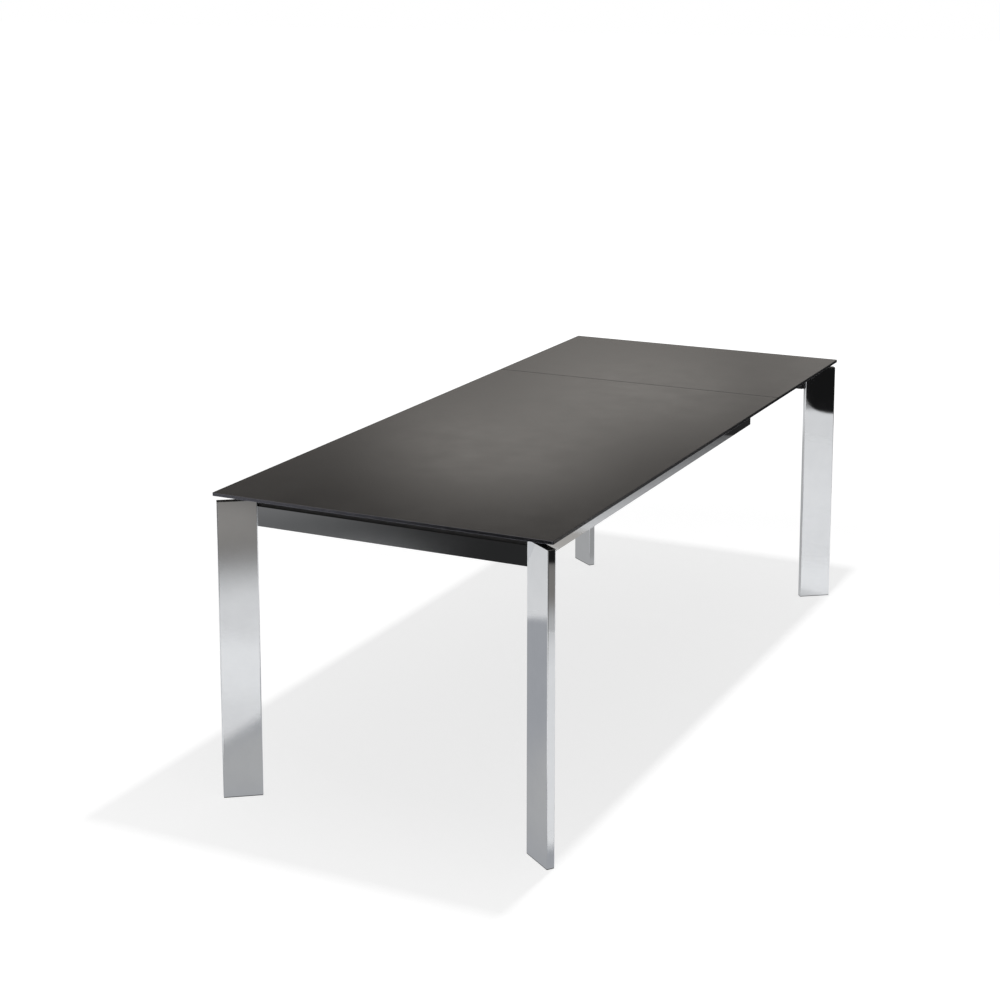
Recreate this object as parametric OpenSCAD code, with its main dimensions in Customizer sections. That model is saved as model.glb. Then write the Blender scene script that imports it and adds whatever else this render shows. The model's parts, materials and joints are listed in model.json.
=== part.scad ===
// Extendable dining table, shown with its leaf in place and the end frame pulled out.
// Millimetres, +Z up. The origin is on the floor under the middle of the extended top.
// X runs along the table: the fixed end is at -X, the sliding end frame at +X.

/* [Top] */
// Height of the table's upper face above the floor
table_height = 750; // [700:5:800]
// Width of the top, across the table
top_width = 870; // [780:5:1000]
// Length of the fixed main top
main_top_length = 1520; // [1300:10:1800]
// Length of the leaf, and so the travel of the end frame
leaf_length = 580; // [400:10:640]
// Thickness of both top panels
top_thickness = 8; // [8:0.5:14]
// Gap left between the main top and the leaf
seam_gap = 2; // [0.6:0.1:3]
// Chamfer round the edges of both panels
panel_chamfer = 1; // [0.4:0.1:2]

/* [Legs] */
// Width of each flat leg
leg_width = 94; // [80:1:105]
// Thickness of each flat leg
leg_thickness = 20; // [14:1:24]
// Wall of the leg's rectangular tube
leg_wall = 2; // [1.5:0.1:3]
// Angle between a leg's flat side and the table's long side
leg_angle = 54; // [50:0.5:62]
// Distance from the table's end to the middle of a leg's outer edge
leg_end_inset = 8; // [8:1:20]
// Distance from the table's side to the middle of a leg's outer edge
leg_side_inset = 6; // [6:1:20]
// Open gap between the legs and the underside of the top
leg_top_gap = 14; // [9:0.5:16]
// Thickness of the plate that closes the head of a leg
leg_head_plate = 4; // [2:0.5:6]
// Chamfer down the long edges of the legs
leg_chamfer = 1; // [0.5:0.1:1.5]

/* [Foot glides] */
// Thickness of the glide that shows under a leg
glide_height = 2; // [1.5:0.5:5]
// Length of the glide's plug inside the leg
glide_plug = 15; // [10:1:25]

/* [End rails] */
// Height of the end rails
end_rail_height = 47.5; // [40:0.5:52]
// Thickness of the end rails
end_rail_width = 20; // [18:1:26]
// Wall of the end rail's tube
end_rail_wall = 2; // [1.5:0.1:3]
// Distance from the underside of the top to the top of an end rail
end_rail_drop = 29; // [24:1:32]
// How far an end rail's outer face stands behind the inner edge of the legs
end_rail_setback = 2; // [1:0.5:10]

/* [Side rails] */
// Height of the side rails
side_rail_height = 44; // [40:1:48]
// Width of the side rails
side_rail_width = 30; // [28:1:34]
// Wall of the side rail's channel
side_rail_wall = 2.5; // [2:0.1:3]
// Distance from the table's side to the outer face of a side rail
side_rail_inset = 53; // [50:1:60]

/* [Corner blocks] */
// Distance that the end rail starts beyond the leg's inner corner
corner_overlap = 1; // [0.5:0.5:10]
// Length of the flange that is bolted to the end rail
flange_length = 34; // [30:1:40]
// Thickness of that flange
flange_thickness = 6; // [4:0.5:8]
// Gap between the flange and the inner face of the side rail
flange_gap = 1; // [0.5:0.5:2]
// Diameter of the corner bolts
corner_bolt_d = 8; // [6:1:8]
// Length of a corner bolt's shank
corner_bolt_length = 18; // [14:1:20]
// Diameter of a corner bolt's head
corner_bolt_head_d = 13; // [11:0.5:14]
// Height of a corner bolt's head
corner_bolt_head_height = 5; // [4:0.5:6]
// Width across the corners of the hexagon socket in the head
corner_bolt_socket = 6.5; // [5:0.5:7]
// Distance from the end rail's top and bottom to the corner bolts
corner_bolt_margin = 12; // [10:0.5:12]

/* [Runners] */
// Height of the runners
runner_height = 24; // [20:1:26]
// Wall of the runner's tube
runner_wall = 2; // [1.5:0.1:3]
// Thickness of the guide's walls beside and above a runner
guide_wall = 2.75; // [2.5:0.05:3.5]
// Length of the mouth guides, and of the runner shoes
guide_length = 40; // [30:1:60]
// Length of a runner that stays inside its side rail
runner_hold = 300; // [200:10:400]
// Length of the stop blocks in the side rails
stop_length = 20; // [15:1:30]
// Side of the square tie bar between the runners
tie_bar_size = 20; // [16:1:20]
// Running clearance on each side of sliding pieces
slide_clearance = 0.3; // [0.2:0.05:0.5]
// Gap between the side rails and the far end rail when the table is closed
rail_end_clearance = 1; // [0.5:0.5:3]
// Gap between a shoe's plug and the inside of its runner
plug_clearance = 0.5; // [0.2:0.1:0.8]

/* [Cross members] */
// Height of the cross members
cross_height = 20; // [16:1:24]
// Width of the cross members, along the table
cross_width = 40; // [30:1:50]
// Wall of the cross member's tube
cross_wall = 2; // [1.5:0.1:3]
// Distance from the fixed end to the front cross member
front_cross_place = 400; // [300:10:440]
// Distance from the end of the side rails back to the rear cross member
rear_cross_margin = 55; // [45:1:80]
// Distance across the table between the screws of a cross member
top_screw_pitch = 348; // [300:2:420]

/* [Spacers, pads and tongues] */
// Side of the square spacers on the cross members
spacer_size = 40; // [30:1:40]
// Length of the spacers on the side rails
rail_spacer_length = 50; // [30:5:80]
// Distance from the underside to the top of the leaf's pads
pad_clearance = 0.3; // [0.2:0.05:0.5]
// Length of the leaf's pads on the sliding end rail
pad_length = 60; // [40:5:80]
// Distance from the table's side to the leaf's pads
pad_inset = 130; // [125:5:140]
// Width of the black bars that stand on the end rails
bearer_width = 14; // [10:1:16]
// Thickness of the steel tongues under the seam
tongue_thickness = 4; // [3:0.5:5]
// Length of the tongues
tongue_length = 120; // [80:5:140]
// Width of the tongues
tongue_width = 40; // [30:1:50]
// Distance between the middles of the tongues
tongue_pitch = 205; // [180:5:210]

/* [Leaf stiffeners] */
// Thickness of the leaf's stiffeners
stiffener_height = 8; // [6:0.5:8]
// Width of the stiffeners
stiffener_width = 20; // [16:1:24]
// Distance between the middles of the two stiffeners
stiffener_pitch = 285; // [270:5:300]
// Distance from the ends of a stiffener to the ends of the leaf
stiffener_margin = 70; // [65:5:90]

/* [Screws] */
// Diameter of the screws that hold the panels
screw_d = 5; // [4:0.5:6]
// Diameter of their heads
screw_head_d = 9; // [8:0.5:11]
// Height of their heads
screw_head_height = 2.6; // [2:0.1:3]
// Depth of a screw in its panel
screw_bite = 6; // [5:0.5:6.5]
// How much deeper than its screw a blind hole is
blind_hole_extra = 0.5; // [0.2:0.1:1]
// Clearance between a fastener and its hole
hole_clearance = 0.1; // [0.05:0.05:0.2]

/* [Hidden] */
$fn = 48;

panel_color = "#4c4846";
chrome_color = "#c8cbcf";
steel_color = "#9ea2a6";
aluminium_color = "#b9bcc0";
nylon_color = "#d9d8d0";
grey_color = "#77797b";
black_color = "#1d1d1f";

// Overall length and the places along X
table_length = main_top_length + leaf_length;
near_x = -table_length / 2;
far_x = table_length / 2;
seam_x = near_x + main_top_length;
right_y = -top_width / 2;

// Levels
underside_z = table_height - top_thickness;
leg_top_z = underside_z - leg_top_gap;
end_rail_top_z = underside_z - end_rail_drop;
end_rail_z = end_rail_top_z - end_rail_height;
side_rail_z = leg_top_z - side_rail_height;
runner_top_z = leg_top_z - side_rail_wall - guide_wall;
runner_z = runner_top_z - runner_height;

// The leg's inner corner that faces the table's end, measured from the table's corner
leg_inner_x = leg_end_inset + leg_width * cos(leg_angle) - leg_thickness / 2 * sin(leg_angle);
leg_inner_y = leg_side_inset + leg_width * sin(leg_angle) + leg_thickness / 2 * cos(leg_angle);
// How far a corner block stops from the table's side, clear of the leg's chamfer
block_start = leg_inner_y - leg_thickness * cos(leg_angle) + leg_chamfer;

// End rails and corners, measured from the table's end and side
end_rail_inset = leg_inner_x + end_rail_setback;
end_rail_back = end_rail_inset + end_rail_width;
end_rail_start = leg_inner_y + corner_overlap;
side_rail_back = side_rail_inset + side_rail_width;
flange_y = side_rail_back + flange_gap;
flange_end = flange_y + flange_length;
flange_back = end_rail_back + flange_thickness;

// Side rails, runners and what they carry, along X
side_rail_start_x = near_x + end_rail_back;
side_rail_end_x = seam_x - end_rail_back - rail_end_clearance;
runner_start_x = side_rail_end_x - runner_hold;
runner_end_x = far_x - end_rail_back;
runner_side = side_rail_inset + side_rail_wall + guide_wall;
runner_width = side_rail_width - side_rail_wall - 2 * guide_wall;
front_cross_x = near_x + front_cross_place;
rear_cross_x = side_rail_end_x - rear_cross_margin - cross_width;

// How far a cut reaches beyond what it cuts
cut = 1;

// ---- Shared shapes ----

// Outline of an a by b rectangle with its corners cut by c
function cut_corners(a, b, c) = [
    [c, 0], [a - c, 0], [a, c], [a, b - c], [a - c, b], [c, b], [0, b - c], [0, c]
];

// A box from the origin with every edge chamfered
module bevel_box(size, c) {
    intersection() {
        linear_extrude(size[2]) polygon(cut_corners(size[0], size[1], c));
        translate([0, size[1], 0]) rotate([90, 0, 0])
            linear_extrude(size[1]) polygon(cut_corners(size[0], size[2], c));
        rotate([90, 0, 90]) linear_extrude(size[0]) polygon(cut_corners(size[1], size[2], c));
    }
}

// A box given by its lowest and highest corners
module block(low, high) {
    translate(low) cube(high - low);
}

// Places children drawn for the near right corner at any corner of the table
module corner(end, side) {
    mirror([end == "far" ? 1 : 0, 0, 0])
        mirror([0, side == "left" ? 1 : 0, 0])
            translate([near_x, right_y, 0]) children();
}

// Draws children for the right side, and mirrors them for the left
module on_side(side) {
    mirror([0, side == "left" ? 1 : 0, 0]) children();
}

// Puts children on the centre line of the near right leg, with X along its width
module leg_frame() {
    translate([leg_end_inset, leg_side_inset, 0]) rotate(leg_angle) children();
}

// The leg's outline, grown or shrunk on every side
module leg_outline(grow, c) {
    leg_frame() translate([-grow, -leg_thickness / 2 - grow])
        polygon(cut_corners(leg_width + 2 * grow, leg_thickness + 2 * grow, c));
}

// A screw that points up, with its head's lower face at the origin
module screw(length) {
    cylinder(h = screw_head_height, d = screw_head_d);
    cylinder(h = screw_head_height + length, d = screw_d);
}

// The hole for such a screw, up from below one level to above another
module screw_hole(from_z, to_z) {
    translate([0, 0, from_z - cut])
        cylinder(h = to_z - from_z + 2 * cut, d = screw_d + 2 * hole_clearance);
}

// The hole for it that ends inside a panel
module blind_hole() {
    screw_hole(underside_z, underside_z + screw_bite + blind_hole_extra - cut);
}

// ---- Panels ----

module panel(start_x, length) {
    translate([start_x, right_y, underside_z])
        bevel_box([length, top_width, top_thickness], panel_chamfer);
}

module main_top() {
    color(panel_color) difference() {
        panel(near_x, main_top_length - seam_gap / 2);
        at_top_screws() blind_hole();
        at_tongue_screws() blind_hole();
    }
}

module leaf_panel() {
    color(panel_color) difference() {
        panel(seam_x + seam_gap / 2, leaf_length - seam_gap / 2);
        for (side = [-1, 1]) at_stiffener_screws(side) blind_hole();
    }
}

// ---- Legs and glides ----

module leg() {
    difference() {
        translate([0, 0, glide_height])
            linear_extrude(leg_top_z - glide_height) leg_outline(0, leg_chamfer);
        translate([0, 0, glide_height - cut])
            linear_extrude(leg_top_z - glide_height - leg_head_plate + cut)
                leg_outline(-leg_wall, leg_chamfer / 2);
    }
}

module glide() {
    linear_extrude(glide_height) leg_outline(-leg_chamfer / 2, leg_chamfer);
    linear_extrude(glide_height + glide_plug)
        leg_outline(-leg_wall - 2 * hole_clearance, leg_chamfer / 2);
}

module near_leg_left() { color(chrome_color) corner("near", "left") leg(); }
module near_leg_right() { color(chrome_color) corner("near", "right") leg(); }
module far_leg_left() { color(chrome_color) corner("far", "left") leg(); }
module far_leg_right() { color(chrome_color) corner("far", "right") leg(); }

module near_glides() {
    color(grey_color) for (side = ["left", "right"]) corner("near", side) glide();
}

module far_glides() {
    color(grey_color) for (side = ["left", "right"]) corner("far", side) glide();
}

// ---- Rails ----

module end_rail() {
    low = [end_rail_inset, end_rail_start, end_rail_z];
    high = [end_rail_back, top_width - end_rail_start, end_rail_top_z];
    wall = [end_rail_wall, -cut, end_rail_wall];
    difference() {
        block(low, high);
        block(low + wall, high - wall);
        for (turn = [0, 1]) translate([0, turn * top_width, 0]) mirror([0, turn, 0])
            at_corner_bolts() corner_bolt_hole();
    }
}

module near_end_rail() { color(chrome_color) corner("near", "right") end_rail(); }
module far_end_rail() { color(chrome_color) corner("far", "right") end_rail(); }

// A channel that opens towards the middle of the table
module side_rail() {
    low = [side_rail_start_x, right_y + side_rail_inset, side_rail_z];
    high = [side_rail_end_x, right_y + side_rail_back, leg_top_z];
    difference() {
        block(low, high);
        block(
            low + [-cut, side_rail_wall, side_rail_wall],
            high + [cut, cut, -side_rail_wall]
        );
    }
}

module side_rail_left() { color(chrome_color) on_side("left") side_rail(); }
module side_rail_right() { color(chrome_color) on_side("right") side_rail(); }

// ---- Corner blocks ----

// Where the side of a leg that faces the table's side crosses a line along the side
function leg_side_x(y) =
    leg_end_inset + (y - leg_side_inset) / tan(leg_angle) + leg_thickness / 2 / sin(leg_angle);

// The block between a leg's inner edge and its end rail, with the flange behind the rail
module corner_outline() {
    difference() {
        polygon([
            [end_rail_inset, block_start],
            [end_rail_back, block_start],
            [end_rail_back, flange_y],
            [flange_back, flange_y],
            [flange_back, flange_end],
            [end_rail_back, flange_end],
            [end_rail_back, end_rail_start],
            [end_rail_inset, end_rail_start]
        ]);
        leg_outline(0, leg_chamfer);
    }
}

// The seat beside the leg that a side rail or a runner ends on
module seat_outline() {
    difference() {
        polygon([
            [leg_side_x(side_rail_inset), side_rail_inset],
            [end_rail_back, side_rail_inset],
            [end_rail_back, side_rail_back],
            [end_rail_inset, side_rail_back]
        ]);
        leg_outline(0, leg_chamfer);
    }
}

// Two bolts run through each flange into the end rail
module at_corner_bolts() {
    for (z = [end_rail_z + corner_bolt_margin, end_rail_top_z - corner_bolt_margin])
        translate([flange_back, (end_rail_start + flange_end) / 2, z])
            rotate([0, -90, 0]) children();
}

module corner_bolt_hole() {
    translate([0, 0, -cut])
        cylinder(h = corner_bolt_length + 2 * cut, d = corner_bolt_d + 2 * hole_clearance);
}

module corner_block(seat_z) {
    color(black_color) difference() {
        union() {
            translate([0, 0, end_rail_z])
                linear_extrude(end_rail_height) corner_outline();
            translate([0, 0, seat_z]) linear_extrude(leg_top_z - seat_z) seat_outline();
        }
        at_corner_bolts() corner_bolt_hole();
    }
}

module corner_bolt() {
    difference() {
        translate([0, 0, -corner_bolt_head_height])
            cylinder(h = corner_bolt_head_height, d = corner_bolt_head_d);
        translate([0, 0, -corner_bolt_head_height - cut])
            cylinder(h = corner_bolt_head_height, d = corner_bolt_socket, $fn = 6);
    }
    cylinder(h = corner_bolt_length, d = corner_bolt_d);
}

module near_corner_left() { corner("near", "left") corner_block(side_rail_z); }
module near_corner_right() { corner("near", "right") corner_block(side_rail_z); }
module far_corner_left() { corner("far", "left") corner_block(runner_z); }
module far_corner_right() { corner("far", "right") corner_block(runner_z); }

module near_corner_bolts() {
    color(black_color) for (side = ["left", "right"])
        corner("near", side) at_corner_bolts() corner_bolt();
}

module far_corner_bolts() {
    color(black_color) for (side = ["left", "right"])
        corner("far", side) at_corner_bolts() corner_bolt();
}

// ---- Cross members and what holds the main top ----

module cross_member(x) {
    low = [x, right_y + side_rail_back, leg_top_z - cross_height];
    high = [x + cross_width, -right_y - side_rail_back, leg_top_z];
    wall = [cross_wall, -cut, cross_wall];
    difference() {
        block(low, high);
        block(low + wall, high - wall);
        at_top_screws() screw_hole(leg_top_z - cross_height, leg_top_z);
    }
}

module front_cross_member() { color(steel_color) cross_member(front_cross_x); }
module rear_cross_member() { color(steel_color) cross_member(rear_cross_x); }

// The four places where a screw runs up through a cross member into the main top
module at_top_screws() {
    for (x = [front_cross_x, rear_cross_x], y = [-1, 1])
        translate([x + cross_width / 2, y * top_screw_pitch / 2, 0]) children();
}

module cross_spacers() {
    color(black_color) difference() {
        at_top_screws() translate([-spacer_size / 2, -spacer_size / 2, leg_top_z])
            cube([spacer_size, spacer_size, leg_top_gap]);
        at_top_screws() screw_hole(leg_top_z, underside_z);
    }
}

module top_screws() {
    color(steel_color) at_top_screws()
        translate([0, 0, leg_top_z - cross_height - screw_head_height])
            screw(cross_height + leg_top_gap + screw_bite);
}

// Pads between the side rails and the main top, at both ends and in the middle
module rail_spacers() {
    first = side_rail_start_x + rail_spacer_length;
    last = side_rail_end_x - rail_spacer_length;
    color(black_color) for (side = ["left", "right"], x = [first, (first + last) / 2, last])
        on_side(side) translate([
            x - rail_spacer_length / 2,
            right_y + side_rail_inset + side_rail_wall,
            leg_top_z
        ]) cube([rail_spacer_length, side_rail_width - 2 * side_rail_wall, leg_top_gap]);
}

module near_bearer() {
    margin = (end_rail_width - bearer_width) / 2;
    color(black_color) block(
        [near_x + end_rail_inset + margin, right_y + end_rail_start, end_rail_top_z],
        [near_x + end_rail_back - margin, -right_y - end_rail_start, underside_z]
    );
}

// ---- Runners and their guides ----

module runner() {
    low = [runner_start_x, right_y + runner_side, runner_z];
    high = [runner_end_x, right_y + runner_side + runner_width, runner_top_z];
    wall = [-cut, runner_wall, runner_wall];
    difference() {
        block(low, high);
        block(low + wall, high - wall);
    }
}

module runner_left() { color(aluminium_color) on_side("left") runner(); }
module runner_right() { color(aluminium_color) on_side("right") runner(); }

module tie_bar() {
    y = right_y + runner_side + runner_width;
    z = runner_z + (runner_height - tie_bar_size) / 2;
    color(aluminium_color) block(
        [runner_start_x, y, z],
        [runner_start_x + tie_bar_size, -y, z + tie_bar_size]
    );
}

// The space inside a side rail from one X to another, shrunk by a clearance
module rail_bore(start_x, end_x, clearance) {
    block(
        [start_x, right_y + side_rail_inset + side_rail_wall + clearance,
            side_rail_z + side_rail_wall + clearance],
        [end_x, right_y + side_rail_back - clearance,
            leg_top_z - side_rail_wall - clearance]
    );
}

// A nylon shoe behind each runner, with a plug in the runner's end
module runner_shoes() {
    plug = runner_wall + plug_clearance;
    color(nylon_color) for (side = ["left", "right"]) on_side(side) {
        rail_bore(runner_start_x - guide_length, runner_start_x, slide_clearance);
        block(
            [runner_start_x - cut, right_y + runner_side + plug, runner_z + plug],
            [runner_start_x + guide_length / 2,
                right_y + runner_side + runner_width - plug, runner_top_z - plug]
        );
    }
}

// A nylon guide in the mouth of each side rail
module mouth_guides() {
    start_x = side_rail_end_x - guide_length;
    gap = [cut, slide_clearance, slide_clearance];
    color(nylon_color) for (side = ["left", "right"]) on_side(side) difference() {
        rail_bore(start_x, side_rail_end_x, 0);
        block(
            [start_x, right_y + runner_side, runner_z] - gap,
            [side_rail_end_x, right_y + runner_side + runner_width, runner_top_z] + gap
        );
    }
}

// The shoes come up against these when the end frame is pulled right out
module stop_blocks() {
    start_x = runner_start_x + slide_clearance;
    color(steel_color) for (side = ["left", "right"]) on_side(side) block(
        [start_x, right_y + side_rail_inset + side_rail_wall, side_rail_z + side_rail_wall],
        [start_x + stop_length, right_y + side_rail_back, runner_z - slide_clearance]
    );
}

// ---- What carries the leaf ----

module leaf_pads() {
    margin = (end_rail_width - bearer_width) / 2;
    color(black_color) for (side = ["left", "right"]) on_side(side) block(
        [far_x - end_rail_back + margin, right_y + pad_inset, end_rail_top_z],
        [far_x - end_rail_inset - margin, right_y + pad_inset + pad_length,
            underside_z - pad_clearance]
    );
}

module at_tongues() {
    for (row = [-1:1]) translate([seam_x, row * tongue_pitch, 0]) children();
}

module at_tongue_screws() {
    at_tongues() for (step = [1, 3])
        translate([-step * tongue_length / 8, 0, 0]) children();
}

module seam_tongues() {
    color(steel_color) difference() {
        at_tongues()
            translate([-tongue_length / 2, -tongue_width / 2, underside_z - tongue_thickness])
                cube([tongue_length, tongue_width, tongue_thickness]);
        at_tongue_screws() screw_hole(underside_z - tongue_thickness, underside_z);
    }
}

module tongue_screws() {
    color(black_color) at_tongue_screws()
        translate([0, 0, underside_z - tongue_thickness - screw_head_height])
            screw(tongue_thickness + screw_bite);
}

// ---- Leaf stiffeners ----

module at_stiffener_screws(side) {
    first = seam_x + stiffener_margin + stiffener_width;
    last = far_x - stiffener_margin - stiffener_width;
    for (x = [first, (first + last) / 2, last])
        translate([x, side * stiffener_pitch / 2, 0]) children();
}

module stiffener(side) {
    length = leaf_length - 2 * stiffener_margin;
    color(aluminium_color) difference() {
        translate([
            seam_x + stiffener_margin,
            side * stiffener_pitch / 2 - stiffener_width / 2,
            underside_z - stiffener_height
        ]) cube([length, stiffener_width, stiffener_height]);
        at_stiffener_screws(side) screw_hole(underside_z - stiffener_height, underside_z);
    }
}

module stiffener_left() { stiffener(1); }
module stiffener_right() { stiffener(-1); }

module stiffener_screws() {
    color(black_color) for (side = [-1, 1]) at_stiffener_screws(side)
        translate([0, 0, underside_z - stiffener_height - screw_head_height])
            screw(stiffener_height + screw_bite);
}

main_top();
leaf_panel();
near_leg_left();
near_leg_right();
far_leg_left();
far_leg_right();
near_glides();
far_glides();
near_end_rail();
far_end_rail();
side_rail_left();
side_rail_right();
near_corner_left();
near_corner_right();
far_corner_left();
far_corner_right();
near_corner_bolts();
far_corner_bolts();
front_cross_member();
rear_cross_member();
cross_spacers();
rail_spacers();
top_screws();
near_bearer();
runner_left();
runner_right();
tie_bar();
runner_shoes();
mouth_guides();
stop_blocks();
leaf_pads();
seam_tongues();
tongue_screws();
stiffener_left();
stiffener_right();
stiffener_screws();
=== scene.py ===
"""Looks of the extendable dining table: materials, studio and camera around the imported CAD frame."""

import json
import math

import bpy
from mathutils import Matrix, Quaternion, Vector

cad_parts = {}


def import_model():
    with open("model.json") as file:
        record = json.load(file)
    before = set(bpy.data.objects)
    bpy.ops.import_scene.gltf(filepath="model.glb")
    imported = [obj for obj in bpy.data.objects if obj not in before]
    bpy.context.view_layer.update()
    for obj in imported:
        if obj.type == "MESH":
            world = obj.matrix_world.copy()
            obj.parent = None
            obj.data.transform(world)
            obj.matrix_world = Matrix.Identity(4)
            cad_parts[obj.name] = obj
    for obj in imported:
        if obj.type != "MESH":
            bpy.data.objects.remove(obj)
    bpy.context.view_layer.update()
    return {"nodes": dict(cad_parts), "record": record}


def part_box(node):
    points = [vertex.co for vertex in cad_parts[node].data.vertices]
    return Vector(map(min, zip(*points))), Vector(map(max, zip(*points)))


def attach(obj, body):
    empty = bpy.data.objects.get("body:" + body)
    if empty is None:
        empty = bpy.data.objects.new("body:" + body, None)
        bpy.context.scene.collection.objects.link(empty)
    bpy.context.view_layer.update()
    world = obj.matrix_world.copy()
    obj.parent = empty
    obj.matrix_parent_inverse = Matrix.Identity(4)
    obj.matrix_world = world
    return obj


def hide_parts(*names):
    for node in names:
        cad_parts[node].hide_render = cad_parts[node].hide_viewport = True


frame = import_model()


# ---------------------------------------------------------------- node trees


class Nodes:
    """Short calls for building one node tree, of a material or of the world."""

    def __init__(self, owner, output):
        owner.use_nodes = True
        self.owner = owner
        self.tree = owner.node_tree
        self.tree.nodes.clear()
        self.output = self.add(output)

    def add(self, kind, settings=None, **inputs):
        """A node of that kind; inputs are values or other nodes' output sockets."""
        node = self.tree.nodes.new("ShaderNode" + kind)
        for key, value in (settings or {}).items():
            setattr(node, key, value)
        for key, value in inputs.items():
            self.put(node.inputs[key.replace("_", " ")], value)
        return node

    def put(self, socket, value):
        """Links an output socket to that input, or sets the input to a value."""
        if isinstance(value, bpy.types.NodeSocket):
            self.tree.links.new(value, socket)
        else:
            socket.default_value = value

    def coordinates(self, stretch=(1, 1, 1), shift=(0, 0, 0)):
        """Object coordinates, scaled along each axis and then shifted."""
        source = self.add("TexCoord").outputs["Object"]
        return self.add("Mapping", Vector=source, Location=shift, Scale=stretch).outputs["Vector"]

    def noise(self, scale, detail=3.0, roughness=0.5, stretch=(1, 1, 1)):
        """Noise from 0 to 1 with features of about 1/scale metres."""
        place = self.coordinates(stretch)
        node = self.add("TexNoise", Vector=place, Scale=scale, Detail=detail, Roughness=roughness)
        return node.outputs["Fac"]

    def spread(self, factor, low, high, start=0.3, end=0.7, curve="LINEAR"):
        """Maps factor from start..end to low..high, held beyond them."""
        settings = {"interpolation_type": curve}
        limits = {"From_Min": start, "From_Max": end, "To_Min": low, "To_Max": high}
        return self.add("MapRange", settings, Value=factor, **limits).outputs["Result"]

    def blend_colors(self, factor, first, second):
        """A colour from first at 0 to second at 1."""
        node = self.add("Mix", {"data_type": "RGBA"})
        self.put(node.inputs["Factor"], factor)
        self.put(node.inputs["A"], (*first, 1))
        self.put(node.inputs["B"], (*second, 1))
        return node.outputs["Result"]

    def calculate(self, operation, first, second):
        """The result of that operation on two numbers."""
        node = self.add("Math", {"operation": operation})
        self.put(node.inputs[0], first)
        self.put(node.inputs[1], second)
        return node.outputs["Value"]

    def multiply(self, first, second):
        """Two vectors multiplied axis by axis."""
        node = self.add("VectorMath", {"operation": "MULTIPLY"})
        self.put(node.inputs[0], first)
        self.put(node.inputs[1], second)
        return node.outputs["Vector"]

    def length(self, vector):
        """The length of a vector."""
        node = self.add("VectorMath", {"operation": "LENGTH"})
        self.put(node.inputs[0], vector)
        return node.outputs["Value"]

    def bump(self, height, distance, strength):
        """A normal that follows height, which stands for distance metres at 1."""
        node = self.add("Bump", Height=height, Distance=distance, Strength=strength)
        return node.outputs["Normal"]

    def join(self, kind, first, second, **inputs):
        """Two shaders joined by a node of that kind."""
        node = self.add(kind, **inputs)
        self.put(node.inputs[-2], first)
        self.put(node.inputs[-1], second)
        return node.outputs["Shader"]

    def surface(self, shader):
        """Ends the tree in that shader and returns the material or world."""
        self.put(self.output.inputs["Surface"], shader)
        return self.owner

    def principled(self, **inputs):
        """Ends the tree in one principled shader."""
        return self.surface(self.add("BsdfPrincipled", **inputs).outputs["BSDF"])


def material_nodes(name):
    """The empty node tree of a new material."""
    return Nodes(bpy.data.materials.new(name), "OutputMaterial")


# ---------------------------------------------------------------- materials

# Colours of the noise's low and high places
PANEL_COLORS = ((0.033, 0.0305, 0.0290), (0.037, 0.0345, 0.0330))
CHROME_COLORS = ((0.825, 0.842, 0.864), (0.858, 0.874, 0.896))
ZINC_COLORS = ((0.42, 0.43, 0.44), (0.55, 0.55, 0.56))
ALUMINIUM_COLORS = ((0.52, 0.53, 0.55), (0.64, 0.65, 0.66))
BLACK_STEEL_COLORS = ((0.016, 0.016, 0.018), (0.03, 0.03, 0.032))
NYLON_COLORS = ((0.60, 0.585, 0.53), (0.68, 0.67, 0.62))
GREY_PLASTIC_COLORS = ((0.21, 0.215, 0.22), (0.25, 0.255, 0.26))
BLACK_PLASTIC_COLORS = ((0.012, 0.012, 0.013), (0.02, 0.02, 0.021))
# The short edges' pale bluish metallic colour is a painted sheen: a brighter copy of the edge that
# stands in for the light their ends catch.
SHORT_EDGE_SHEEN_COLORS = ((0.345, 0.345, 0.395), (0.385, 0.385, 0.44))
LONG_EDGE_COLORS = ((0.034, 0.034, 0.037), (0.046, 0.046, 0.05))
SEAM_EDGE_COLORS = ((0.030, 0.030, 0.030), (0.040, 0.040, 0.040))
# Refraction index of the panels' matt core at the long edges and the seam, set low so that they
# reflect little: a darker copy of the edge, which stands in for the shade these edges show
CORE_IOR = 1.25
# Stretch of the noise that draws lines along an axis: small on that axis
LINES_ALONG_X = (0.05, 1, 1)
LINES_ALONG_Y = (1, 0.06, 1)


def satin_panel():
    """Anthracite laminate: very fine pores and a slightly uneven sheen."""
    n = material_nodes("satin_panel")
    cloud = n.noise(3.0, detail=4)
    pores = n.noise(900, detail=2, roughness=0.7)
    return n.principled(
        Base_Color=n.blend_colors(n.spread(cloud, 0, 1), *PANEL_COLORS),
        Roughness=n.spread(n.noise(14, detail=5), 0.13, 0.16),
        Normal=n.bump(pores, 0.00001, 0.6),
    )


def cut_edge(name, colors, **surface):
    """A panel's edge with fine streaks along it."""
    n = material_nodes(name)
    streaks = n.noise(40, detail=4, stretch=(1, 1, 6))
    return n.principled(
        Base_Color=n.blend_colors(n.spread(streaks, 0, 1), *colors),
        Roughness=n.spread(streaks, 0.10, 0.16),
        Normal=n.bump(streaks, 0.00001, 0.4),
        **surface,
    )


def chrome():
    """Bright plate over polished steel, with a faint haze and the ripple of buffing."""
    n = material_nodes("chrome")
    haze = n.noise(22, detail=6, roughness=0.6)
    ripple = n.noise(5.0, detail=1, stretch=(1, 1, 0.35))
    return n.principled(
        Base_Color=n.blend_colors(n.spread(haze, 0, 1), *CHROME_COLORS),
        Metallic=1.0,
        Roughness=n.spread(haze, 0.015, 0.03),
        Normal=n.bump(ripple, 0.0012, 0.35),
    )


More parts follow.
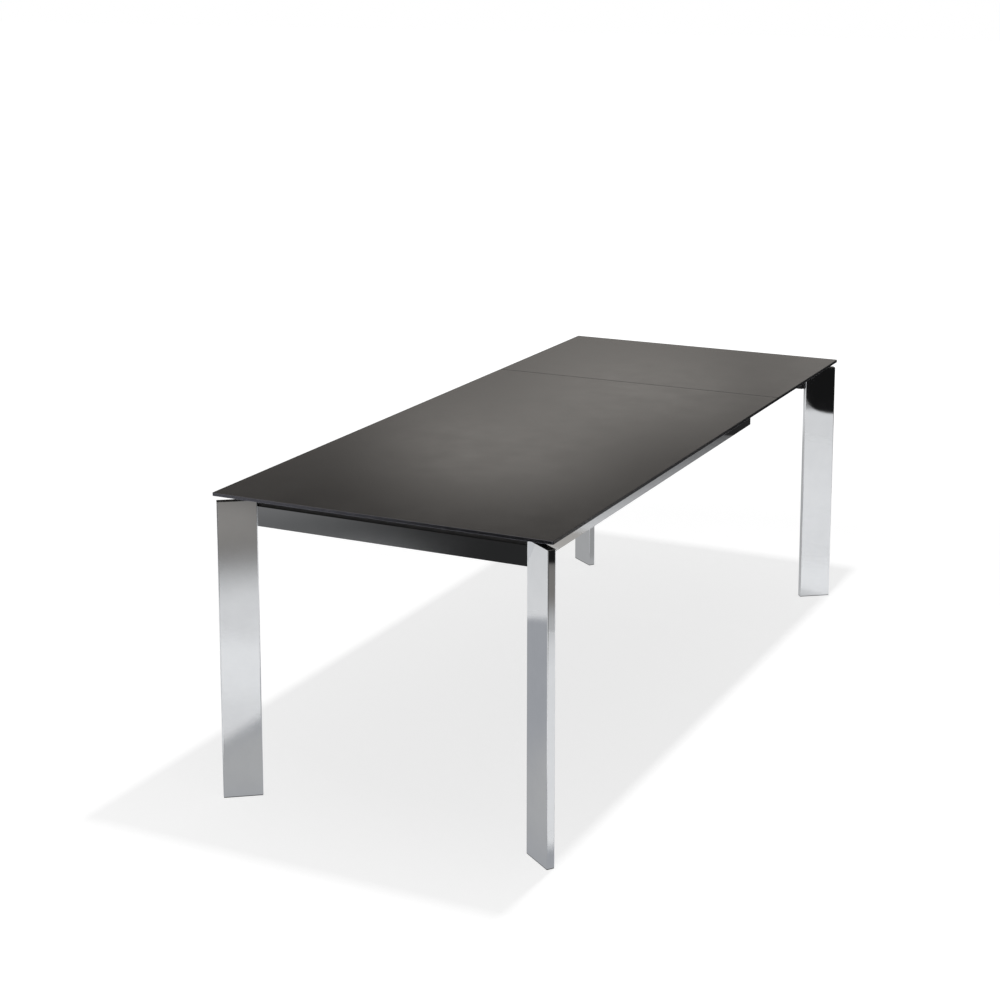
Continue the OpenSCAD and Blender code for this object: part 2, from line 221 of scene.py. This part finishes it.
def drawn_metal(name, colors, stretch):
    """Drawn metal whose fine lines run along the axis with the smallest stretch."""
    n = material_nodes(name)
    lines = n.noise(60, detail=5, roughness=0.65, stretch=stretch)
    return n.principled(
        Base_Color=n.blend_colors(n.spread(lines, 0, 1), *colors),
        Metallic=1.0,
        Roughness=n.spread(lines, 0.26, 0.42),
        Normal=n.bump(lines, 0.00008, 0.5),
    )


def grained(name, colors, rough):
    """Moulded plastic or a coating with a fine grain."""
    n = material_nodes(name)
    grain = n.noise(700, detail=2)
    return n.principled(
        Base_Color=n.blend_colors(n.spread(n.noise(30), 0, 1), *colors),
        Roughness=n.spread(grain, rough - 0.06, rough + 0.06),
        Normal=n.bump(grain, 0.00012, 0.6),
    )


def make_finishes():
    """One material for each of the record's material slots."""
    return {
        "top_panel": satin_panel(),
        "chrome": chrome(),
        "steel": drawn_metal("zinc_steel", ZINC_COLORS, LINES_ALONG_Y),
        "black_steel": grained("black_oxide", BLACK_STEEL_COLORS, 0.38),
        "aluminium": drawn_metal("drawn_aluminium", ALUMINIUM_COLORS, LINES_ALONG_X),
        "nylon": grained("nylon", NYLON_COLORS, 0.5),
        "grey_plastic": grained("grey_plastic", GREY_PLASTIC_COLORS, 0.46),
        "black_plastic": grained("black_plastic", BLACK_PLASTIC_COLORS, 0.48),
    }


def finish_nodes(finishes):
    """Puts each node's finish in all of its material slots."""
    for part in frame["record"]["subparts"]:
        node = frame["nodes"][part["node"]]
        if not node.data.materials:
            node.data.materials.append(None)
        for index in range(len(node.data.materials)):
            node.data.materials[index] = finishes[part["material_slot"]]


def finish_faces(piece, finish, chosen):
    """Gives that finish to the faces whose normal is chosen."""
    piece.data.materials.append(finish)
    slot = len(piece.data.materials) - 1
    for face in piece.data.polygons:
        if chosen(face.normal):
            face.material_index = slot


# ---------------------------------------------------------------- rounded pieces

# Radii in metres of the upright corners, the upper rim and the lower rim
LEG_RADII = (0.0025, 0.0005, 0.0003)
PANEL_RADII = (0.003, 0.001, 0.0004)
# Steps in a quarter turn of an upright corner and of a rim
CORNER_STEPS = 6
RIM_STEPS = 5
# A face stands upright when its normal rises by less than this
UPRIGHT_RISE = 0.01
# A panel's face belongs to its edge when its normal's rise is between these
EDGE_RISE = (-0.95, 0.5)
# How far a face's normal points up on a leg's head, outwards on a corner block and to the seam
HEAD_REACH = 0.5
OUTWARD_REACH = 0.9
SEAM_REACH = 0.3


def frame_of(node):
    """An upright bar's middle, its directions along and across, and half its size in each."""
    points = [node.matrix_world @ v.co for v in node.data.vertices]
    upright = [face for face in node.data.polygons if abs(face.normal.z) < UPRIGHT_RISE]
    side = max(upright, key=lambda face: face.area).normal
    across = (node.matrix_world.to_3x3() @ side).normalized()
    along = Vector((across.y, -across.x, 0))
    spans = []
    for axis in (along, across):
        places = [axis.dot(point) for point in points]
        spans.append(((min(places) + max(places)) / 2, (max(places) - min(places)) / 2))
    middle = along * spans[0][0] + across * spans[1][0]
    return middle, along, across, spans[0][1], spans[1][1]


def rounded_outline(half_x, half_y, radius, inset):
    """Points and outward directions round a rectangle with rounded corners, shrunk by inset."""
    ring = []
    reach = radius - inset
    for turn, sx, sy in ((0, 1, 1), (1, -1, 1), (2, -1, -1), (3, 1, -1)):
        for step in range(CORNER_STEPS + 1):
            angle = math.pi / 2 * (turn + step / CORNER_STEPS)
            way = (math.cos(angle), math.sin(angle))
            x = sx * (half_x - radius) + way[0] * reach
            y = sy * (half_y - radius) + way[1] * reach
            ring.append(((x, y), way))
    return ring


def rim_levels(bottom, top, upper, lower):
    """Inset, height and rise of the surface at each level, from the underside up."""
    bends = [math.pi / 2 * step / RIM_STEPS for step in range(RIM_STEPS + 1)]
    opening = [
        (lower * (1 - math.sin(a)), bottom + lower * (1 - math.cos(a)), -math.cos(a))
        for a in bends
    ]
    closing = [
        (upper * (1 - math.sin(a)), top - upper * (1 - math.cos(a)), math.cos(a))
        for a in reversed(bends)
    ]
    return opening + closing


def stacked_faces(size, rings):
    """Faces of a closed stack of rings with size points each."""
    faces = [tuple(range(size - 1, -1, -1))]
    for ring in range(rings - 1):
        base = ring * size
        for i in range(size):
            j = (i + 1) % size
            faces.append((base + i, base + j, base + size + j, base + size + i))
    last = (rings - 1) * size
    faces.append(tuple(range(last, last + size)))
    return faces


def rounded_mesh(name, node, low, high, corner, upper, lower):
    """A bar or panel as a mesh with rounded corners and rims, and smooth normals."""
    middle, along, across, half_x, half_y = frame_of(node)
    levels = rim_levels(low[2], high[2], upper, lower)
    verts, normals = [], []
    for inset, z, rise in levels:
        out = math.sqrt(max(0, 1 - rise * rise))
        for (x, y), (wx, wy) in rounded_outline(half_x, half_y, corner, inset):
            point = middle + along * x + across * y
            way = (along * wx + across * wy) * out
            verts.append((point.x, point.y, z))
            normals.append((way.x, way.y, rise))
    mesh = bpy.data.meshes.new(name)
    mesh.from_pydata(verts, [], stacked_faces(len(verts) // len(levels), len(levels)))
    for material in node.data.materials:
        mesh.materials.append(material)
    mesh.polygons.foreach_set("use_smooth", [True] * len(mesh.polygons))
    mesh.normals_split_custom_set_from_vertices(normals)
    return mesh


def round_off(name, radii):
    """Swaps a bar or panel for the same piece with its corners and its two rims rounded."""
    mesh = rounded_mesh(name + "_rounded", frame["nodes"][name], *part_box(name), *radii)
    piece = bpy.data.objects.new(mesh.name, mesh)
    bpy.context.scene.collection.objects.link(piece)
    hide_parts(name)
    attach(piece, body_of(name))
    return piece


def body_of(name):
    """The body that a node belongs to."""
    for body, nodes in frame["record"]["behaviour"]["bodies"].items():
        if name in nodes:
            return body
    raise KeyError(name)


def capped_legs(finishes):
    """The legs, with a black cap at the head."""
    for end in ("near", "far"):
        for side in ("left", "right"):
            leg = round_off(end + "_leg_" + side, LEG_RADII)
            finish_faces(leg, finishes["black_plastic"], lambda way: way.z > HEAD_REACH)


def plated_corners(finishes):
    """The corner blocks' outward faces, which show between leg and end rail, in chrome."""
    for end, outward in (("near", -1), ("far", 1)):
        for side in ("left", "right"):
            block = frame["nodes"][end + "_corner_" + side]
            finish_faces(block, finishes["chrome"], lambda way: way.x * outward > OUTWARD_REACH)


def is_edge(way):
    """Whether a panel's face is on its edge, below the upper rounding."""
    return EDGE_RISE[0] < way.z < EDGE_RISE[1]


def edged_panels():
    """The panels: at their short edges a brighter, bluish metallic copy of the edge, a painted sheen;
    matt at the long ones and at the seam.
    """
    short = cut_edge("cut_edge_across_sheen", SHORT_EDGE_SHEEN_COLORS, Metallic=1.0)
    long = cut_edge("cut_edge_along", LONG_EDGE_COLORS, IOR=CORE_IOR)
    seam = cut_edge("cut_edge_seam", SEAM_EDGE_COLORS, IOR=CORE_IOR)
    for name, to_seam in (("main_top", 1), ("leaf_panel", -1)):
        panel = round_off(name, PANEL_RADII)
        finish_faces(panel, short, lambda way: is_edge(way) and abs(way.x) > abs(way.y))
        finish_faces(panel, long, lambda way: is_edge(way) and abs(way.x) <= abs(way.y))
        finish_faces(panel, seam, lambda way: way.x * to_seam > SEAM_REACH)


# ---------------------------------------------------------------- studio

WHITE = (1, 1, 1)
# The warm tint of the wall and of the softboxes on it
WARM = (1.0, 0.955, 0.90)
# The cool tint of the table's shadow in the chrome
COOL = (0.97, 0.99, 1.04)
# How strongly the sky lights the table
SKY = 0.30
# The lamp overhead
KEY_PLACE = (-0.08, -0.44, 3.66)
KEY_SIZE = (0.28, 0.16)
KEY_WATTS = 56
FLOOR_SIZE = (80, 80)
# How pale the floor is, and what it glows by itself, seen straight and seen in the chrome
FLOOR_WHITE = 0.5
FLOOR_GLOW = 0.72
CHROME_FLOOR_WHITE = 0.8
CHROME_FLOOR_GLOW = 0.28
# The floor's own glow rises from here outwards, where the key lamp falls off
GLOW_CENTRE = (0.45, -0.15)
GLOW_INSIDE = 1.3
GLOW_OUTSIDE = 4.3
# The bright pool of floor around the table that the chrome sees, and its soft rim
POOL_CENTRE = (0.25, 0.40)
POOL_INSIDE = 2.5
POOL_OUTSIDE = 3.45
# The dark floor beyond that pool
SURROUND_SIZE = (16, 16)
SURROUND_TONE = 0.02
# Height of one layer of tone on the floor: all of them stay under the legs' glides
FLOOR_LAYER = 0.0002
WALL_RADIUS = 7.0
WALL_HEIGHT = 8.0
WALL_SIDES = 96
# Height on the wall in metres, and the tone there
WALL_TONES = ((0, 0.5), (1.2, 0.4), (2.1, 0.33), (2.75, 0.115), (3.2, 0.02), (5.0, 0.25), (8.0, 0.5))


def stage_mesh(name, verts, faces, material):
    """A stage object from mesh data, with that material."""
    mesh = bpy.data.meshes.new(name)
    mesh.from_pydata(verts, [], faces)
    mesh.materials.append(material)
    thing = bpy.data.objects.new(name, mesh)
    bpy.context.scene.collection.objects.link(thing)
    return thing


def sheet(name, size, material):
    """A flat sheet around its own origin, facing its +Z."""
    x, y = size[0] / 2, size[1] / 2
    corners = [(-x, -y, 0), (x, -y, 0), (x, y, 0), (-x, y, 0)]
    return stage_mesh(name, corners, [(0, 1, 2, 3)], material)


def only_in_reflections(thing):
    """Hides a thing from everything but glossy rays."""
    thing.visible_camera = False
    thing.visible_diffuse = False
    thing.visible_shadow = False
    thing.visible_transmission = False
    thing.visible_volume_scatter = False


def radius_from(n, centre):
    """Distance on the floor from centre, in metres."""
    place = n.coordinates(shift=(-centre[0], -centre[1], 0))
    return n.length(n.multiply(place, (1, 1, 0)))


def floor_glow(n):
    """What the floor glows: full where it is seen straight, less where the chrome shows it."""
    path = n.add("LightPath").outputs
    straight = n.calculate("MAXIMUM", path["Is Camera Ray"], path["Is Transmission Ray"])
    away = radius_from(n, GLOW_CENTRE)
    near_table = n.spread(away, FLOOR_GLOW, 1.0, start=GLOW_INSIDE, end=GLOW_OUTSIDE)
    seen = n.calculate("MULTIPLY", straight, near_table)
    mirrored = n.calculate("MULTIPLY", path["Is Glossy Ray"], CHROME_FLOOR_GLOW)
    strength = n.calculate("ADD", seen, mirrored)
    return n.add("Emission", Strength=strength).outputs["Emission"]


def floor_paint(n):
    """The floor's own colour, paler where the chrome shows it."""
    in_chrome = n.add("LightPath").outputs["Is Glossy Ray"]
    pale = n.spread(in_chrome, FLOOR_WHITE, CHROME_FLOOR_WHITE, start=0, end=1)
    color = n.add("CombineColor", Red=pale, Green=pale, Blue=pale).outputs["Color"]
    return n.add("BsdfDiffuse", Color=color).outputs["BSDF"]


def floor():
    """A pale floor that keeps the shadow, lifted to the background's white where it is seen."""
    n = material_nodes("floor")
    both = n.join("AddShader", floor_paint(n), floor_glow(n))
    sheet("floor", FLOOR_SIZE, n.surface(both))


def soft_glow(n, tone, alpha, tint=WHITE):
    """A glow of that tone, let through where alpha is 0."""
    clear = n.add("BsdfTransparent").outputs["BSDF"]
    light = n.add("Emission", Color=(*tint, 1), Strength=tone).outputs["Emission"]
    return n.surface(n.join("MixShader", clear, light, Fac=alpha))


def dark_surround():
    """The unlit studio floor beyond the pool of light, which only the chrome sees."""
    n = material_nodes("dark_surround")
    away = radius_from(n, POOL_CENTRE)
    rim = n.spread(away, 0, 1, start=POOL_INSIDE, end=POOL_OUTSIDE, curve="SMOOTHSTEP")
    ring = sheet("dark_surround", SURROUND_SIZE, soft_glow(n, SURROUND_TONE, rim))
    ring.location.z = FLOOR_LAYER
    only_in_reflections(ring)


def oval_fade(n, size, inner, squareness):
    """1 inside an oval up to inner, falling to 0 at the edge of a sheet of that size.

    Each step of squareness squares the oval's outline further.
    """
    vector = n.coordinates((2 / size[0], 2 / size[1], 1))
    for _ in range(squareness):
        vector = n.multiply(vector, vector)
    reach = n.calculate("POWER", n.length(vector), 0.5**squareness)
    return n.spread(reach, 1, 0, start=inner, end=1, curve="SMOOTHERSTEP")


def softbox(name, place, facing, size, tone, tint=WHITE, inner=0.0, turn=0, squareness=0):
    """A soft-edged glow that only reflections see."""
    n = material_nodes(name)
    fade = oval_fade(n, size, inner, squareness)
    box = sheet(name, size, soft_glow(n, tone, fade, tint))
    box.location = place
    box.rotation_mode = "QUATERNION"
    box.rotation_quaternion = Vector(facing).to_track_quat("Z", "Y")
    if turn:
        box.rotation_quaternion = Quaternion((0, 0, 1), math.radians(turn))
    only_in_reflections(box)


def on_floor(name, x, y, layer, size, tone, tint=WHITE, **shape):
    """A softbox that lies on the floor, where a higher layer covers a lower one."""
    softbox(name, (x, y, layer * FLOOR_LAYER), (0, 0, 1), size, tone, tint, **shape)


def floor_tones():
    """Painted reflections for the chrome: lighter and darker glowing sheets on the floor that only
    reflections see, with a painted shadow of the table (floor_shadow) among them.
    """
    on_floor("floor_glow_near", -2.95, -0.95, 2, (2.0, 1.5), 0.265, WARM)
    on_floor("floor_glow_left", -3.2, 2.1, 2, (2.6, 2.9), 0.19)
    on_floor("floor_strip", -3.4, -0.30, 3, (2.8, 0.5), 1.1)
    on_floor("floor_glow_middle", -1.72, -0.14, 3, (0.8, 0.7), 0.84, inner=0.2)
    on_floor("floor_glow_arc", -0.29, -2.31, 3, (0.96, 0.58), 0.73, inner=0.5)
    on_floor("floor_shade_near", 1.20, -1.30, 3, (0.42, 0.8), 0.46, WARM, inner=0.2)
    on_floor("floor_shade_far", 1.02, 0.50, 3, (0.5, 1.1), 0.40, inner=0.5)
    on_floor("floor_glow_far", 0.90, -0.55, 3, (0.9, 0.6), 0.86)
    shadow = {"inner": 0.89, "turn": -22, "squareness": 3}
    on_floor("floor_shadow", -0.468, 0.155, 4, (1.69, 1.82), 0.375, COOL, **shadow)
    on_floor("floor_step_narrow", -1.25, -2.215, 4, (0.6, 0.56), 0.47, inner=0.9)
    on_floor("floor_shade_inner", 0.955, 0.09, 4, (0.3, 0.5), 0.32, inner=0.5)
    on_floor("floor_shade_outer", 1.70, 0.65, 4, (2.4, 0.5), 0.42, inner=0.5, turn=54)
    on_floor("floor_shadow_end", -1.13, 0.03, 5, (0.62, 1.3), 0.43, inner=0.3)
    on_floor("floor_shade_narrow", -1.28, -2.39, 5, (0.6, 0.88), 0.20, WARM, inner=0.14)
    on_floor("floor_shade_right", 2.34, -1.77, 5, (3.7, 2.2), 0.03)
    on_floor("floor_shade_rail", -2.98, 0.48, 5, (1.6, 1.6), 0.022, inner=0.25)
    on_floor("floor_dark_narrow", -1.30, -2.87, 6, (0.7, 0.6), 0.01, inner=0.8)
    on_floor("floor_streak", -0.895, -2.778, 7, (1.3, 0.36), 0.6, inner=0.5, turn=50)
    disc = {"inner": 0.95, "turn": 50, "squareness": 2}
    on_floor("floor_disc", -0.725, -3.338, 8, (1.84, 0.74), 0.008, **disc)
    on_floor("floor_shade_end", 3.04, -1.34, 9, (0.44, 0.5), 0.02, inner=0.8, squareness=1)


def wall_glows():
    """The soft lights on the wall behind the table that its satin top shows."""
    softbox("wall_glow_middle", (5.635, 2.989, 2.50), (-0.9, -0.44, 0), (2.6, 0.88), 0.8, WARM)
    softbox("wall_glow_far", (6.1, 2.25, 2.16), (-0.93, -0.36, 0), (2.4, 0.7), 0.75, WARM)
    softbox("wall_glow_right", (6.74, 1.25, 2.15), (-0.98, -0.2, 0), (1.3, 0.8), 0.55, WARM)


def wall_paint():
    """The wall's glow, which changes with the height as WALL_TONES says."""
    n = material_nodes("wall")
    height = n.add("SeparateXYZ", Vector=n.add("TexCoord").outputs["Object"]).outputs["Z"]
    ramp = n.add("ValToRGB", Fac=n.spread(height, 0, 1, start=0, end=WALL_HEIGHT))
    ramp.color_ramp.interpolation = "EASE"
    stops = ramp.color_ramp.elements
    while len(stops) < len(WALL_TONES):
        stops.new(0.5)
    for stop, (level, tone) in zip(stops, WALL_TONES):
        stop.position = level / WALL_HEIGHT
        stop.color = (tone * WARM[0], tone * WARM[1], tone * WARM[2], 1)
    glow = n.add("Emission", Color=ramp.outputs["Color"], Strength=1.0)
    return n.surface(glow.outputs["Emission"])


def wall():
    """A round grey studio wall for reflections: paler low down and high up, darkest between."""
    verts, faces = [], []
    for i in range(WALL_SIDES):
        turn = 2 * math.pi * i / WALL_SIDES
        x, y = WALL_RADIUS * math.cos(turn), WALL_RADIUS * math.sin(turn)
        verts += [(x, y, 0), (x, y, WALL_HEIGHT)]
        j = (i + 1) % WALL_SIDES
        faces.append((2 * i, 2 * i + 1, 2 * j + 1, 2 * j))
    only_in_reflections(stage_mesh("wall", verts, faces, wall_paint()))


def key_lamp():
    """The soft lamp overhead, facing straight down, whose shadow the floor shows."""
    data = bpy.data.lights.new("key", "AREA")
    data.shape = "RECTANGLE"
    data.size, data.size_y = KEY_SIZE
    data.energy = KEY_WATTS
    light = bpy.data.objects.new("key", data)
    light.location = KEY_PLACE
    light.rotation_mode = "QUATERNION"
    light.rotation_quaternion = Vector((0, 0, -1)).to_track_quat("-Z", "Y")
    bpy.context.scene.collection.objects.link(light)


def world():
    """An even white sky: SKY is what it lends as light, and where it is seen it is white."""
    sky = bpy.data.worlds.new("studio")
    bpy.context.scene.world = sky
    n = Nodes(sky, "OutputWorld")
    path = n.add("LightPath").outputs
    seen = n.calculate("MAXIMUM", path["Is Camera Ray"], path["Is Glossy Ray"])
    seen = n.calculate("MAXIMUM", seen, path["Is Transmission Ray"])
    strength = n.spread(seen, SKY, 1.0, start=0, end=1)
    n.surface(n.add("Background", Color=(*WHITE, 1), Strength=strength).outputs["Background"])


def studio():
    """Everything round the table."""
    world()
    floor()
    dark_surround()
    wall()
    key_lamp()
    floor_tones()
    wall_glows()


# ---------------------------------------------------------------- camera

CAMERA_PLACE = (-4.7059, -2.1005, 1.9856)
# Degrees to the left of +X, and degrees downwards
CAMERA_TURN = 26.106
CAMERA_DIP = 9.644
# Millimetres
CAMERA_LENS = 70.52
CAMERA_SENSOR = 36
# Share of the frame's width
CAMERA_SHIFT = -0.215
# Metres
CAMERA_REACH = 100


def camera():
    """The viewing angle: a standing viewer at the table's right near corner."""
    data = bpy.data.cameras.new("camera")
    data.sensor_width = CAMERA_SENSOR
    data.lens = CAMERA_LENS
    data.shift_y = CAMERA_SHIFT
    data.clip_end = CAMERA_REACH
    view = bpy.data.objects.new("camera", data)
    view.location = CAMERA_PLACE
    turn, dip = math.radians(CAMERA_TURN), math.radians(CAMERA_DIP)
    view.rotation_euler = (math.pi / 2 - dip, 0, turn - math.pi / 2)
    bpy.context.scene.collection.objects.link(view)
    bpy.context.scene.camera = view


finishes = make_finishes()
finish_nodes(finishes)
capped_legs(finishes)
plated_corners(finishes)
edged_panels()
studio()
camera()
bpy.context.scene.view_settings.view_transform = "Standard"
